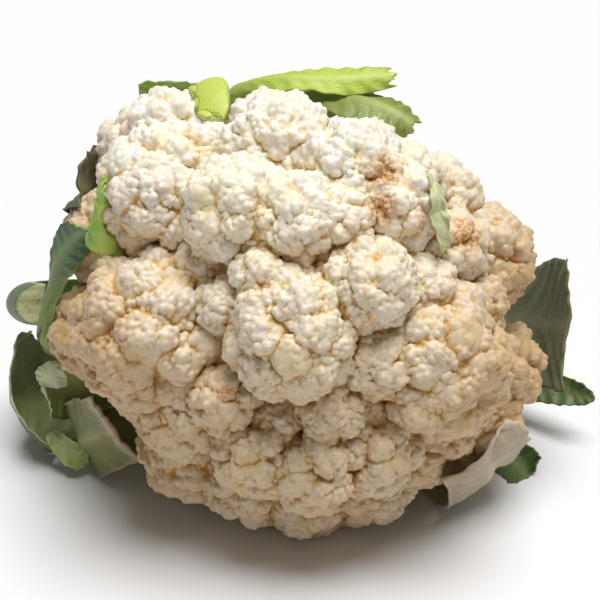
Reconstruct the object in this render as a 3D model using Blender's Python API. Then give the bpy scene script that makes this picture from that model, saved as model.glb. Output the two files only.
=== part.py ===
# Cauliflower head with its trimmed leaves, lying on its lowest floret and on two petiole stubs.
# Metres in the result, +Z up. The origin is the middle of the flat spot under the lowest floret.
# The head is worked out in millimetres in a frame of its own: its centre is the middle of the curd,
# its +Z runs out of the crown, and its +X is the row's +X. The crown points to -Y and HEAD_TILT upwards.

import math

import bmesh
import bpy
import numpy as np
from mathutils import Matrix, Vector

MM = 0.001
HEAD_TILT = math.radians(28.0)
GOLDEN_ANGLE = math.pi * (3.0 - math.sqrt(5.0))
SEED = 7133

# Curd
CORE_RADIUS = 60.0
NECK_HEIGHT = -20.0
NECK_RADIUS = 44.0
CURD_BOTTOM = -47.0
CURD_FACE_DIVISIONS = 26
REST_DEPTH = 0.9
# Main florets: place of the middle and radius, from the crown outwards.
MAIN_FLORETS = {
    "crown": (-3, -7, 57, 22),
    "crown_right": (22, 9, 60, 15),
    "crown_gap_upper": (-14, 12, 60, 9),
    "crown_gap_left": (-27, 2, 52, 9),
    "crown_gap_lower": (10, -33, 50, 11),
    "upper_left": (-23, 34, 50, 18),
    "upper_middle": (-3, 31, 54, 16),
    "upper_notch": (14, 31, 55, 11),
    "upper_right": (31, 35, 45, 16),
    "top_right": (17, 46, 40, 19),
    "top": (-9, 56, 27, 20),
    "left_shoulder": (-49, 41, 27, 23),
    "left_shoulder_top": (-49, 64, 12, 15),
    "left_shoulder_inner": (-33, 55, 24, 12),
    "left_corner": (-58, 56, -8, 19),
    "left": (-51, -8, 33, 28),
    "left_foot": (-27, -30, 46, 12),
    "left_heel": (-42, -38, 32, 15),
    "right": (45, -17, 36, 27),
    "right_brow": (39, 8, 46, 12),
    "right_inner": (25, -17, 54, 12),
    "right_shoulder": (51, 22, 35, 13),
    "right_edge": (65, 18, 8, 19),
    "right_corner": (48, 38, 8, 17),
    "right_corner_upper": (36, 45, 22, 14),
    "lower": (5, -53, 38, 17),
    "lower_cap_left": (-15, -49, 38, 16),
    "lower_cap_right": (24, -48, 37, 16),
    "lowest": (2, -62, 6, 22),
    "lowest_left": (-18, -62, 10, 18),
    "lowest_right": (23, -61, 10, 18),
    "lower_left": (-40, -52, 5, 20),
    "lower_right": (40, -48, 6, 19),
    "right_rim": (72, -24, -4, 18),
    "right_rim_low": (66, -43, -2, 16),
    "left_rim": (-76, -10, -2, 18),
    "left_rim_upper": (-72, 25, -5, 18),
}
REST_FLORET = "lowest"
UNDER_RING_COUNT = 11
UNDER_RING = (54.0, -20.0, 15.0)  # distance from the axis, height, radius
FLORET_CORE_SHARE = 0.86
BUD_SHARE = 0.40
BUD_LEAST_RADIUS = 5.0
BUD_SINK = 0.80
BUD_SPREAD = math.radians(112.0)
BUD_COVER = 1.25
BUD_JITTER = 0.16
BUD_RADIUS_RANGE = (0.82, 1.12)
BUD_AXIS_LIFT = 12.0
SPIRAL_SIDE = (0.3, 0.9, 0.1)
SPIRAL_START = 0.4

# Stem
STEM_GAP = 0.3
STEM_RADIUS = 27.0
STEM_END_RADIUS = 24.5
STEM_END = -80.0
STEM_SIDES = 32
STEM_EDGE = 1.5

# Leaves
LEAF_ROWS = 12
LEAF_COLUMNS = 7
CURD_CLEARANCE = 2.4
EDGE_THICKNESS = 0.9
RIDGE_WIDTH = 4.0
EDGE_ROUNDING = 1.02
BLADE_START = 0.35  # share of the leaf's length where its blade starts to spread from the petiole
BLADE_SPREAD = 0.4
WAVE_RATE = 9.0
WAVE_OFFSET = 2.0
WAVE_POWER = 1.5
INNER_WHORL = (27.4, -51.0)  # distance from the axis and height where the petioles leave the stem
MIDDLE_WHORL = (27.2, -60.5)
OUTER_WHORL = (26.8, -71.0)


def leaf(whorl, bearing, rib, half_widths, rib_thickness, hug=0.2, wave=0.0, turn=0.0, blade=0.0):
    """A leaf's measures, from its petiole to its tip.

    bearing: round the stem, in degrees. rib: distance from the axis, bearing and height along the midrib.
    half_widths: from the midrib to the edge. rib_thickness: at the petiole and at the tip.
    hug: how far the edges bend towards the curd. wave: ripple of the edges.
    turn: twist at the tip in degrees. blade: how much thinner the rib gets where the blade spreads.
    """
    return {
        "rib": [(whorl[0], bearing, whorl[1]), *rib],
        "half_widths": half_widths,
        "rib_thickness": rib_thickness,
        "hug": hug,
        "wave": wave,
        "turn": math.radians(turn),
        "blade": blade,
    }


LEAVES = {
    "leaf_left_long": leaf(
        INNER_WHORL,
        187,
        [(62, 189, -45), (90, 190, -24), (96, 186, -8), (89, 175, 4), (82, 163, 11), (83, 148, 14)],
        (6, 7, 6, 6, 9, 10, 2.5),
        (7, 3),
        hug=0.1,
        wave=1.6,
        turn=-50,
        blade=0.5,
    ),
    "leaf_left_back": leaf(
        MIDDLE_WHORL,
        153,
        [(62, 153, -52), (92, 152, -32), (100, 151, -12), (100, 149, 3)],
        (6, 8, 14, 17, 9),
        (6, 2),
        hug=0.3,
        wave=1.5,
        blade=0.4,
    ),
    "leaf_left_stub": leaf(
        OUTER_WHORL,
        180,
        [(64, 180, -68), (94, 180, -52), (106, 180, -33), (108, 180, -16)],
        (6, 8, 9, 10, 10),
        (8, 13),
        hug=0.0,
    ),
    "leaf_left_outer": leaf(
        OUTER_WHORL,
        209,
        [(62, 209, -66), (93, 206, -56), (112, 203, -38), (118, 203, -20)],
        (6, 8, 13, 24, 27),
        (7, 2),
        hug=0.45,
        wave=2.2,
        blade=0.4,
    ),
    "leaf_left_curl": leaf(
        MIDDLE_WHORL,
        206,
        [(62, 205, -56), (86, 203, -44), (98, 200, -26), (101, 198, -10)],
        (6, 8, 9, 11, 9),
        (7, 3),
        hug=-0.25,
        wave=0.8,
        blade=0.4,
    ),
    "leaf_left_low": leaf(
        INNER_WHORL,
        221,
        [(58, 221, -45), (82, 220, -26), (91, 219, -8), (91, 219, 0)],
        (6, 9, 18, 25, 24),
        (6, 2),
        hug=0.25,
        wave=1.2,
        blade=0.35,
    ),
    "leaf_top_sliver": leaf(
        OUTER_WHORL,
        128,
        [(62, 128, -65), (87, 127, -50), (96, 125, -32), (100, 122, -17)],
        (6, 8, 10, 12, 11),
        (7, 2),
        hug=0.2,
        wave=0.8,
        blade=0.4,
    ),
    "leaf_top_tongue": leaf(
        INNER_WHORL,
        118,
        [(60, 118, -44), (84, 117, -22), (88, 116, -4), (85, 115, 8), (78, 115, 18)],
        (6, 8, 8, 8.5, 8.5, 6),
        (7, 3.5),
        hug=0.2,
    ),
    "leaf_top_long": leaf(
        MIDDLE_WHORL,
        103,
        [(62, 104, -54), (87, 104, -37), (92, 100, -19), (89, 92, -10), (89, 80, -8), (96, 67, -9)],
        (6, 7, 6, 6, 7, 8.5, 4),
        (7, 3),
        hug=0.1,
        wave=1.0,
        turn=45,
        blade=0.6,
    ),
    "leaf_top_right": leaf(
        INNER_WHORL,
        82,
        [(60, 82, -46), (78, 80, -26), (78, 74, -9), (76, 65, 1), (77, 56, 2)],
        (6, 8, 12, 13, 11, 5),
        (6, 2),
        hug=0.2,
        wave=0.8,
        turn=10,
        blade=0.4,
    ),
    "leaf_right_broad": leaf(
        MIDDLE_WHORL,
        -3,
        [(62, -3, -53), (92, -3, -36), (103, -2, -14), (102, -2, 0)],
        (6, 9, 17, 24, 22),
        (7, 2),
        hug=0.35,
        wave=1.6,
        blade=0.4,
    ),
    "leaf_right_tip": leaf(
        OUTER_WHORL,
        -21,
        [(62, -20, -68), (92, -19, -60), (111, -17, -48), (124, -16, -38)],
        (6, 8, 10, 9, 3),
        (7, 2),
        hug=0.2,
        wave=1.0,
        blade=0.4,
    ),
    "leaf_right_low": leaf(
        MIDDLE_WHORL,
        -40,
        [(60, -39, -54), (84, -37, -44), (96, -34, -34), (100, -33, -24)],
        (6, 8, 9, 10, 9),
        (7, 3),
        hug=0.1,
        wave=0.8,
        blade=0.4,
    ),
    "leaf_right_hug": leaf(
        INNER_WHORL,
        -50,
        [(58, -50, -42), (82, -49, -20), (90, -48, -2), (85, -46, 14)],
        (6, 10, 17, 21, 20),
        (5, 1.6),
        hug=0.35,
        wave=0.8,
        blade=0.35,
    ),
    "leaf_foot_right": leaf(
        OUTER_WHORL,
        -63,
        [(42, -62, -69), (50, -61, -65), (56, -60, -59)],
        (6, 8, 9, 9),
        (8, 7),
        hug=0.0,
    ),
    "leaf_foot_left": leaf(
        OUTER_WHORL,
        -117,
        [(42, -118, -69), (50, -119, -65), (56, -120, -59)],
        (6, 8, 9, 9),
        (8, 7),
        hug=0.0,
    ),
    "leaf_back_upper": leaf(
        OUTER_WHORL,
        72,
        [(52, 72, -66), (70, 72, -58), (80, 72, -46)],
        (6, 8, 9, 9),
        (8, 6),
        hug=0.0,
    ),
    "leaf_back_right": leaf(
        OUTER_WHORL,
        32,
        [(52, 32, -66), (68, 32, -56), (77, 32, -44)],
        (6, 8, 9, 9),
        (8, 6),
        hug=0.0,
    ),
}

MATERIALS = {
    "curd": ((0.87, 0.82, 0.68), 0.55),
    "stem": ((0.72, 0.76, 0.55), 0.5),
    "leaf": ((0.22, 0.36, 0.08), 0.45),
}


def head_matrix():
    """Turns and moves the head's frame in millimetres into the row's frame in metres."""
    x, y, z, radius = MAIN_FLORETS[REST_FLORET]
    rotation = Matrix.Rotation(math.pi / 2 - HEAD_TILT, 4, "X")
    middle = rotation @ Vector((x, y, z))
    lift = Vector((0, 0, radius - REST_DEPTH))
    return Matrix.Scale(MM, 4) @ Matrix.Translation(lift - middle) @ rotation


HEAD = head_matrix()
HEAD_ARRAY = np.array(HEAD)


def to_row(points):
    """Points of the head's frame, in the row's frame."""
    return points @ HEAD_ARRAY[:3, :3].T + HEAD_ARRAY[:3, 3]


def cylinder_point(distance, bearing, height):
    angle = math.radians(bearing)
    return np.array((distance * math.cos(angle), distance * math.sin(angle), height))


def main_florets():
    """All the main florets, with the ring that closes the curd behind the rim."""
    florets = [np.array(f, float) for f in MAIN_FLORETS.values()]
    distance, height, radius = UNDER_RING
    for i in range(UNDER_RING_COUNT):
        middle = cylinder_point(distance, 360.0 * (i + 0.5) / UNDER_RING_COUNT, height)
        florets.append(np.append(middle, radius))
    return np.array(florets)


def cap_directions(axis, count, spread, jitter, rng):
    """Unit vectors over a cap round axis, on a golden-angle spiral with a little unevenness."""
    axis = axis / np.linalg.norm(axis)
    side = np.cross(axis, SPIRAL_SIDE)
    side /= np.linalg.norm(side)
    other = np.cross(axis, side)
    start = rng.uniform(0, 2 * math.pi)
    share = (np.arange(count) + SPIRAL_START) / count
    height = 1 - share * (1 - math.cos(spread))
    turn = start + GOLDEN_ANGLE * np.arange(count)
    ring = np.sqrt(np.maximum(0, 1 - height**2))
    found = (
        height[:, None] * axis
        + (ring * np.cos(turn))[:, None] * side
        + (ring * np.sin(turn))[:, None] * other
    )
    found += rng.normal(0, jitter, found.shape)
    return found / np.linalg.norm(found, axis=1)[:, None]


def buds_on(floret, rng):
    """The small domes that cover one main floret, as rows of x, y, z and radius."""
    middle, radius = floret[:3], floret[3]
    bud = max(BUD_LEAST_RADIUS, BUD_SHARE * radius)
    count = round(BUD_COVER * 2 * (1 - math.cos(BUD_SPREAD)) * (radius / bud) ** 2)
    axis = middle + np.array((0, 0, BUD_AXIS_LIFT))
    directions = cap_directions(axis, count, BUD_SPREAD, BUD_JITTER * bud / radius, rng)
    radii = bud * rng.uniform(*BUD_RADIUS_RANGE, count)
    places = middle + directions * (radius - BUD_SINK * radii)[:, None]
    return np.column_stack((places, radii))


def curd_balls():
    """Every round form that the curd's surface is the outside of."""
    rng = np.random.default_rng(SEED)
    florets = main_florets()
    cores = florets * np.array((1, 1, 1, FLORET_CORE_SHARE))
    buds = [buds_on(f, rng) for f in florets]
    middle = np.array([(0, 0, 0, CORE_RADIUS), (0, 0, NECK_HEIGHT, NECK_RADIUS)])
    return np.vstack((middle, cores, *buds))


def reach(directions, balls, extra=0.0):
    """How far each direction from the centre goes before it leaves the curd, grown by extra."""
    along = directions @ balls[:, :3].T
    inside = along**2 - (balls[:, :3] ** 2).sum(1) + (balls[:, 3] + extra) ** 2
    distance = np.where(inside > 0, along + np.sqrt(np.maximum(inside, 0)), 0).max(1)
    down = directions[:, 2] < -1e-6
    distance[down] = np.minimum(distance[down], (CURD_BOTTOM - extra) / directions[down, 2])
    return distance


def material(name):
    made = bpy.data.materials.new(name)
    made.use_nodes = True
    colour, roughness = MATERIALS[name]
    shader = made.node_tree.nodes["Principled BSDF"]
    shader.inputs["Base Color"].default_value = (*colour, 1)
    shader.inputs["Roughness"].default_value = roughness
    return made


def add_object(name, mesh, finish):
    made = bpy.data.objects.new(name, mesh)
    bpy.context.scene.collection.objects.link(made)
    mesh.materials.append(finish)
    return made


def mesh_of(bm, name):
    mesh = bpy.data.meshes.new(name)
    bm.to_mesh(mesh)
    bm.free()
    return mesh


def build_curd(finish):
    """A ball of even squares, each point moved out to the surface of the florets."""
    bm = bmesh.new()
    bmesh.ops.create_cube(bm, size=2)
    bmesh.ops.subdivide_edges(bm, edges=bm.edges[:], cuts=CURD_FACE_DIVISIONS - 1, use_grid_fill=True)
    cube = np.array([v.co for v in bm.verts])
    directions = np.tan(cube * math.pi / 4)
    directions /= np.linalg.norm(directions, axis=1)[:, None]
    distance = reach(directions, curd_balls())
    places = to_row(directions * distance[:, None])
    centre = to_row(np.zeros((1, 3)))[0]
    under = places[:, 2] < 0
    share = centre[2] / (centre[2] - places[under, 2])
    places[under] = centre + (places[under] - centre) * share[:, None]
    places[under, 2] = 0
    for vertex, place in zip(bm.verts, places):
        vertex.co = place
    bmesh.ops.triangulate(bm, faces=bm.faces[:], quad_method="SHORT_EDGE")
    bmesh.ops.recalc_face_normals(bm, faces=bm.faces[:])
    return add_object("curd", mesh_of(bm, "curd"), finish)


def build_stem(finish):
    """The stalk's stump, from just under the curd to its cut end."""
    top = CURD_BOTTOM - STEM_GAP
    bm = bmesh.new()
    bmesh.ops.create_cone(
        bm,
        cap_ends=True,
        segments=STEM_SIDES,
        radius1=STEM_END_RADIUS,
        radius2=STEM_RADIUS,
        depth=top - STEM_END,
        matrix=Matrix.Translation((0, 0, (top + STEM_END) / 2)),
    )
    rim = [e for e in bm.edges if all(v.co.z < STEM_END + STEM_GAP for v in e.verts)]
    bmesh.ops.bevel(bm, geom=rim, offset=STEM_EDGE, segments=2, profile=0.5, affect="EDGES")
    bmesh.ops.transform(bm, matrix=HEAD, verts=bm.verts[:])
    return add_object("stem", mesh_of(bm, "stem"), finish)


def along_rib(points, share):
    """A smooth curve through the points: its place at each share of its length."""
    points = np.vstack((2 * points[0] - points[1], points, 2 * points[-1] - points[-2]))
    spans = len(points) - 3
    at = np.clip(share * spans, 0, spans - 1e-9)
    i = at.astype(int)
    t = (at - i)[:, None]
    a, b, c, d = points[i], points[i + 1], points[i + 2], points[i + 3]
    return 0.5 * (2 * b + (c - a) * t + (2 * a - 5 * b + 4 * c - d) * t**2 + (3 * b - a - 3 * c + d) * t**3)


def eased(values, share):
    """A list of values, read at each share of the leaf's length."""
    knots = np.linspace(0, 1, len(values))
    return np.interp(share, knots, values)


def unit(vectors):
    return vectors / np.linalg.norm(vectors, axis=-1)[..., None]


def leaf_points(spec, rows, columns):
    """The leaf's inner face as rows of points, the way out of it, and its thickness there."""
    share = np.linspace(0, 1, rows)
    rib = np.array([cylinder_point(*p) for p in spec["rib"]])
    line = along_rib(rib, share)
    ahead = unit(np.gradient(line, axis=0))
    out = unit(line)
    out = unit(out - (out * ahead).sum(1)[:, None] * ahead)
    side = np.cross(ahead, out)
    turn = (spec["turn"] * share**2)[:, None]
    side, out = side * np.cos(turn) + out * np.sin(turn), out * np.cos(turn) - side * np.sin(turn)
    across = np.linspace(-1, 1, columns)
    width = eased(spec["half_widths"], share)[:, None]
    free = np.clip((share - BLADE_START) / BLADE_SPREAD, 0, 1)[:, None]
    phase = WAVE_RATE * share[:, None] + WAVE_OFFSET * np.sign(across)
    ripple = spec["wave"] * free * np.abs(across) ** WAVE_POWER * np.sin(phase)
    bend = -spec["hug"] * width * across**2 * free + ripple
    places = (
        line[:, None, :]
        + side[:, None, :] * (width * across)[..., None]
        + out[:, None, :] * bend[..., None]
    )
    rib_thickness = eased(spec["rib_thickness"], share)[:, None]
    narrow = 1 - spec["blade"] * free
    round_part = np.sqrt(1 - (across / EDGE_ROUNDING) ** 2)
    ridge = np.exp(-((across * width / RIDGE_WIDTH) ** 2))
    ridged = free * (spec["blade"] > 0)
    shape = round_part * (1 - ridged) + ridge * ridged
    thickness = EDGE_THICKNESS + (rib_thickness * narrow - EDGE_THICKNESS) * shape
    return places, np.maximum(thickness, EDGE_THICKNESS)


def clear_of_curd(places, balls):
    """Points moved out from the centre where they would come nearer to the curd than its clearance."""
    shape = places.shape
    flat = places.reshape(-1, 3)
    length = np.linalg.norm(flat, axis=1)
    least = reach(flat / length[:, None], balls, CURD_CLEARANCE)
    flat = flat * np.maximum(1, least / length)[:, None]
    return flat.reshape(shape)


def build_leaf(name, spec, balls, finish):
    """A grid laid over the leaf's inner face and its outer face, closed round the edge."""
    places, thickness = leaf_points(spec, LEAF_ROWS, LEAF_COLUMNS)
    places = clear_of_curd(places, balls)
    along, across = np.gradient(places, axis=(0, 1))
    normal = unit(np.cross(across, along))
    outer = places + normal * thickness[..., None]
    layers = []
    for points, least_height in ((places, EDGE_THICKNESS), (outer, 0)):
        row = to_row(points.reshape(-1, 3))
        row[:, 2] = np.maximum(row[:, 2], least_height * MM)
        layers.append(row)
    bm = bmesh.new()
    bmesh.ops.create_grid(bm, x_segments=LEAF_COLUMNS - 1, y_segments=LEAF_ROWS - 1, size=1)
    bmesh.ops.triangulate(bm, faces=bm.faces[:], quad_method="FIXED")
    inner_verts = list(bm.verts)
    copied = bmesh.ops.duplicate(bm, geom=bm.verts[:] + bm.edges[:] + bm.faces[:])
    twin = copied["vert_map"]
    for vertex in inner_verts:
        column = round((vertex.co.x + 1) / 2 * (LEAF_COLUMNS - 1))
        row = round((vertex.co.y + 1) / 2 * (LEAF_ROWS - 1))
        index = row * LEAF_COLUMNS + column
        vertex.co = layers[0][index]
        twin[vertex].co = layers[1][index]
    bmesh.ops.bridge_loops(bm, edges=[e for e in bm.edges if e.is_boundary])
    bmesh.ops.triangulate(bm, faces=[f for f in bm.faces if len(f.verts) > 3])
    bmesh.ops.recalc_face_normals(bm, faces=bm.faces[:])
    if bm.calc_volume(signed=True) < 0:
        bmesh.ops.reverse_faces(bm, faces=bm.faces[:])
    return add_object(name, mesh_of(bm, name), finish)


def main():
    for old in list(bpy.data.objects):
        bpy.data.objects.remove(old)
    finishes = {name: material(name) for name in MATERIALS}
    build_curd(finishes["curd"])
    build_stem(finishes["stem"])
    balls = curd_balls()
    for name, spec in LEAVES.items():
        build_leaf(name, spec, balls, finishes["leaf"])


main()
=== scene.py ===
import math

import bmesh
import bpy
import numpy as np
from mathutils import Matrix, Vector, noise


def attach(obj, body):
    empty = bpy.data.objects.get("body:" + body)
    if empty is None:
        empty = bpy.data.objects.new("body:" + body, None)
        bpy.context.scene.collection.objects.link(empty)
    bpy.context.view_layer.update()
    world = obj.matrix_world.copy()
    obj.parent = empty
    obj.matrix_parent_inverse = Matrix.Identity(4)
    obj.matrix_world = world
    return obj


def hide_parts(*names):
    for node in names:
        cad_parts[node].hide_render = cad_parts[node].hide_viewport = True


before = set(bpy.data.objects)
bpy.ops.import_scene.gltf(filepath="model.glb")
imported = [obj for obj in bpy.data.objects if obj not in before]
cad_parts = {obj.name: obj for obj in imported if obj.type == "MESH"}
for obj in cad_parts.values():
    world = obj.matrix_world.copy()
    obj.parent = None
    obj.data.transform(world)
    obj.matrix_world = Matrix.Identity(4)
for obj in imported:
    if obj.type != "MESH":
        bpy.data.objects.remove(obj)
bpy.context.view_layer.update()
mm = 0.001
goldenAngle = math.pi * (3.0 - math.sqrt(5.0))
batch = 2000  # points measured at once

# The head has a frame of its own, in millimetres: its centre is the middle of the curd, +Z runs out of
# the crown and +X is the row's +X. It lies on its lowest floret, crown to -Y, tipped upwards.
head = {
    "tilt": math.radians(28.0),
    "restFloret": "lowest",
    "restDepth": 0.9,
    "curdBottom": -47.0,
}

curd = {
    # main florets: middle and radius
    "florets": {
        "crown": (-3, -7, 57, 22),
        "crown_right": (22, 9, 60, 15),
        "crown_gap_upper": (-14, 12, 60, 9),
        "crown_gap_left": (-27, 2, 52, 9),
        "crown_gap_lower": (10, -33, 50, 11),
        "upper_left": (-23, 34, 50, 18),
        "upper_middle": (-3, 31, 54, 16),
        "upper_notch": (14, 31, 55, 11),
        "upper_right": (31, 35, 45, 16),
        "top_right": (17, 46, 40, 19),
        "top": (-9, 56, 27, 20),
        "left_shoulder": (-49, 41, 27, 23),
        "left_shoulder_top": (-49, 64, 12, 15),
        "left_shoulder_inner": (-33, 55, 24, 12),
        "left_corner": (-58, 56, -8, 19),
        "left": (-51, -8, 33, 28),
        "left_foot": (-27, -30, 46, 12),
        "left_heel": (-42, -38, 32, 15),
        "right": (45, -17, 36, 27),
        "right_brow": (39, 8, 46, 12),
        "right_inner": (25, -17, 54, 12),
        "right_shoulder": (51, 22, 35, 13),
        "right_edge": (65, 18, 8, 19),
        "right_corner": (48, 38, 8, 17),
        "right_corner_upper": (36, 45, 22, 14),
        "lower": (5, -53, 38, 17),
        "lower_cap_left": (-15, -49, 38, 16),
        "lower_cap_right": (24, -48, 37, 16),
        "lowest": (2, -62, 6, 22),
        "lowest_left": (-18, -62, 10, 18),
        "lowest_right": (23, -61, 10, 18),
        "lower_left": (-40, -52, 5, 20),
        "lower_right": (40, -48, 6, 19),
        "right_rim": (72, -24, -4, 18),
        "right_rim_low": (66, -43, -2, 16),
        "left_rim": (-76, -10, -2, 18),
        "left_rim_upper": (-72, 25, -5, 18),
    },
    # small florets that fill the hollows between the main ones
    "fillers": {
        "filler_left": (-34, 15, 41, 11),
        "filler_low": (-9, -38, 41, 11),
        "filler_middle": (8, 14, 50, 10),
        "filler_low_right": (21, -34, 40, 10),
        "filler_right": (60, 2, 30, 11),
        "filler_left_side": (-62, 16, 16, 13),
        "filler_heel": (-54, -31, 12, 14),
        "filler_right_low": (52, -42, 18, 12),
        "filler_top_right": (24, 54, 6, 14),
    },
    "underRing": {"count": 11, "distance": 54.0, "height": -20.0, "radius": 15.0},
    "sideRing": {"count": 12, "distance": 60.0, "height": -2.0, "radius": 12.0},
    "coreShare": 0.86,
    "seed": 7133,
    "buds": {
        "share": 0.40,
        "leastRadius": 5.0,
        "sink": 0.80,
        "spread": math.radians(112.0),
        "cover": 1.25,
        "jitter": 0.16,
        "radii": (0.82, 1.12),
        "axisLift": 12.0,
    },
    # Knobs cover every bud, and beads cover every knob. share, least, most: size from the ball under them,
    # in mm. sink and smoothSink: how far in they sit, as a share of their own size, where the curd is knobbly
    # and where it is smooth. smooth: how smooth each ball's top may be. hidden: deeper ones are left out.
    "knobs": {
        "share": 0.42,
        "least": 2.2,
        "most": 4.2,
        "radii": (0.62, 1.30),
        "sink": 0.55,
        "smoothSink": 0.75,
        "spread": math.radians(108.0),
        "cover": 1.0,
        "jitter": 0.22,
        "smooth": (0.0, 0.2),
        "underside": 0.5,
        "hidden": 0.8,
    },
    "beads": {
        "share": 0.40,
        "least": 1.15,
        "most": 1.45,
        "radii": (0.72, 1.25),
        "sink": 0.30,
        "smoothSink": 0.86,
        "spread": math.radians(100.0),
        "cover": 0.78,
        "jitter": 0.12,
        "smooth": (-0.9, 0.9),
        "underside": 0.85,
        "hidden": 0.35,
    },
    "granules": {"size": 1.9, "height": 0.30, "roundness": 0.55},
    "core": {
        "radius": 60.0,
        "neck": -20.0,
        "neckRadius": 44.0,
        "divisions": 42,
        "branchSteps": (0.25, 0.4, 0.55, 0.7, 0.85),
        "branchFoot": 4.0,
        "branchStart": 0.34,
        "branchGrowth": 0.36,
        # front also sets the core's painted shade, warm and dark deep between the front florets
        "front": (8.0, 34.0),  # heights between which it turns warm and grainy
    },
    "spacing": 0.60,  # between the points of a floret, then on the sides and at the back
    "sideSpacing": 0.78,
    "backSpacing": 1.05,
    "buried": 2.2,  # how deep a floret runs on inside the others before it is closed
    "innerShare": 0.78,
    "pinch": 0.90,
    "lumps": {"height": 1.3, "scale": 0.085},
    # dips in mm that count as hollows, and how near to another floret or to the middle a hollow is deep, for
    # painted shade
    "hollows": {
        "fineSteps": 5,
        "fineDepth": 0.30,
        "wideSteps": 45,
        "wideDepth": 1.3,
        "near": (-3.6, 0.6),
        "middle": (0, 0, -8),
        "inside": (-76.0, -62.0),
    },
    # where painted shade turns the curd darker and browner, partly its own browner tint, in mm, and how much
    # each place counts
    "shade": {
        "below": 148.0,
        "fade": 75.0,
        "aside": (38.0, 82.0),
        "under": (-0.35, 0.75),
        "lowShare": 0.75,
        "asideShare": 0.7,
        "underShare": 0.2,
    },
}

# Smooth, yellowish flat tops of some buds: middle and radius on the head.
caps = [
    (-6, -15, 79, 9.0),
    (-32, 36, 67, 8.0),
    (-54, -16, 60, 10.0),
    (0, -56, 55, 9.0),
    (-25, -36, 57, 8.0),
    (-17, -50, 53, 7.0),
    (-66, 40, 36, 10.0),
    (26, 52, 54, 7.0),
    (55, -6, 60, 8.0),
    (-82, -8, 12, 12.0),
    (28, -50, 52, 6.0),
]

# Brown, grainy stains: middle and radius.
stains = [
    (27, 47, 57, 9.0),
    (26, 35, 62, 8.0),
    (38, 31, 57, 6.0),
    (55, 26, 45, 9.0),
    (-26, -27, 58, 4.0),
    (-42, -25, 56, 3.0),
]


def headMatrix():
    x, y, z, radius = curd["florets"][head["restFloret"]]
    rotation = Matrix.Rotation(math.pi / 2 - head["tilt"], 4, "X")
    middle = rotation @ Vector((x, y, z))
    lift = Vector((0, 0, radius - head["restDepth"]))
    return Matrix.Scale(mm, 4) @ Matrix.Translation(lift - middle) @ rotation


headToRow = np.array(headMatrix())
upwards = headToRow[2, :3] / mm


def toRow(points):
    return points @ headToRow[:3, :3].T + headToRow[:3, 3]


def addObject(name, data):
    made = bpy.data.objects.new(name, data)
    bpy.context.scene.collection.objects.link(made)
    return made


def unit(vectors):
    return vectors / np.linalg.norm(vectors, axis=-1)[..., None]


def smoothStep(values, low, high):
    t = np.clip((values - low) / (high - low), 0, 1)
    return t * t * (3 - 2 * t)


# Shader helpers


def addNode(tree, kind, inputs=None, **settings):
    made = tree.nodes.new("ShaderNode" + kind)
    for key, value in settings.items():
        setattr(made, key, value)
    for key, value in (inputs or {}).items():
        if isinstance(value, bpy.types.NodeSocket):
            tree.links.new(value, made.inputs[key])
        else:
            made.inputs[key].default_value = value
    return made


def mixColour(tree, factor, first, second, blend="MIX"):
    first, second = ((*colour, 1) if isinstance(colour, tuple) else colour for colour in (first, second))
    made = addNode(tree, "Mix", {0: factor, 6: first, 7: second}, data_type="RGBA", blend_type=blend)
    return made.outputs[2]


def maths(tree, operation, first, second=0.0, third=0.0, clamp=False):
    made = addNode(tree, "Math", {0: first, 1: second, 2: third}, operation=operation, use_clamp=clamp)
    return made.outputs[0]


def times(tree, first, second):
    return maths(tree, "MULTIPLY", first, second)


def stepMask(tree, value, low, high):
    limits = {"Value": value, "From Min": low, "From Max": high}
    return addNode(tree, "MapRange", limits, interpolation_type="SMOOTHSTEP").outputs["Result"]


def readAttribute(tree, name):
    return addNode(tree, "Attribute", attribute_name=name).outputs["Fac"]


def objectPlace(tree):
    return addNode(tree, "TexCoord").outputs["Object"]


def noiseValue(tree, place, scale, detail=3.0, roughness=0.55):
    grain = {"Vector": place, "Scale": scale, "Detail": detail, "Roughness": roughness}
    return addNode(tree, "TexNoise", grain).outputs["Fac"]


def newMaterial(name, sockets):
    made = bpy.data.materials.new(name)
    made.use_nodes = True
    shader = made.node_tree.nodes["Principled BSDF"]
    for key, value in sockets.items():
        shader.inputs[key].default_value = value
    return made, made.node_tree, shader


def finishSurface(tree, shader, base, height, strength, distance):
    # Colour and relief go into the material's own shader.
    tree.links.new(base, shader.inputs["Base Color"])
    bump = addNode(tree, "Bump", {"Strength": strength, "Distance": distance, "Height": height})
    tree.links.new(bump.outputs["Normal"], shader.inputs["Normal"])


def fineSkinGroup():
    # Soft mottling and a fine, moist grain that the curd, the stem and the leaves share.
    tree = bpy.data.node_groups.new("fineSkin", "ShaderNodeTree")
    for name in ("Mottle", "Grain"):
        tree.interface.new_socket(name + " Scale", in_out="INPUT", socket_type="NodeSocketFloat")
        tree.interface.new_socket(name, in_out="OUTPUT", socket_type="NodeSocketFloat")
    given = tree.nodes.new("NodeGroupInput")
    result = tree.nodes.new("NodeGroupOutput")
    place = objectPlace(tree)
    for name, detail in (("Mottle", 4.0), ("Grain", 2.0)):
        tree.links.new(noiseValue(tree, place, given.outputs[name + " Scale"], detail), result.inputs[name])
    return tree


fineSkin = fineSkinGroup()


def skinValues(tree, mottleScale, grainScale):
    scales = {"Mottle Scale": mottleScale, "Grain Scale": grainScale}
    made = addNode(tree, "Group", scales, node_tree=fineSkin)
    return made.outputs["Mottle"], made.outputs["Grain"]


# Curd


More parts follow.
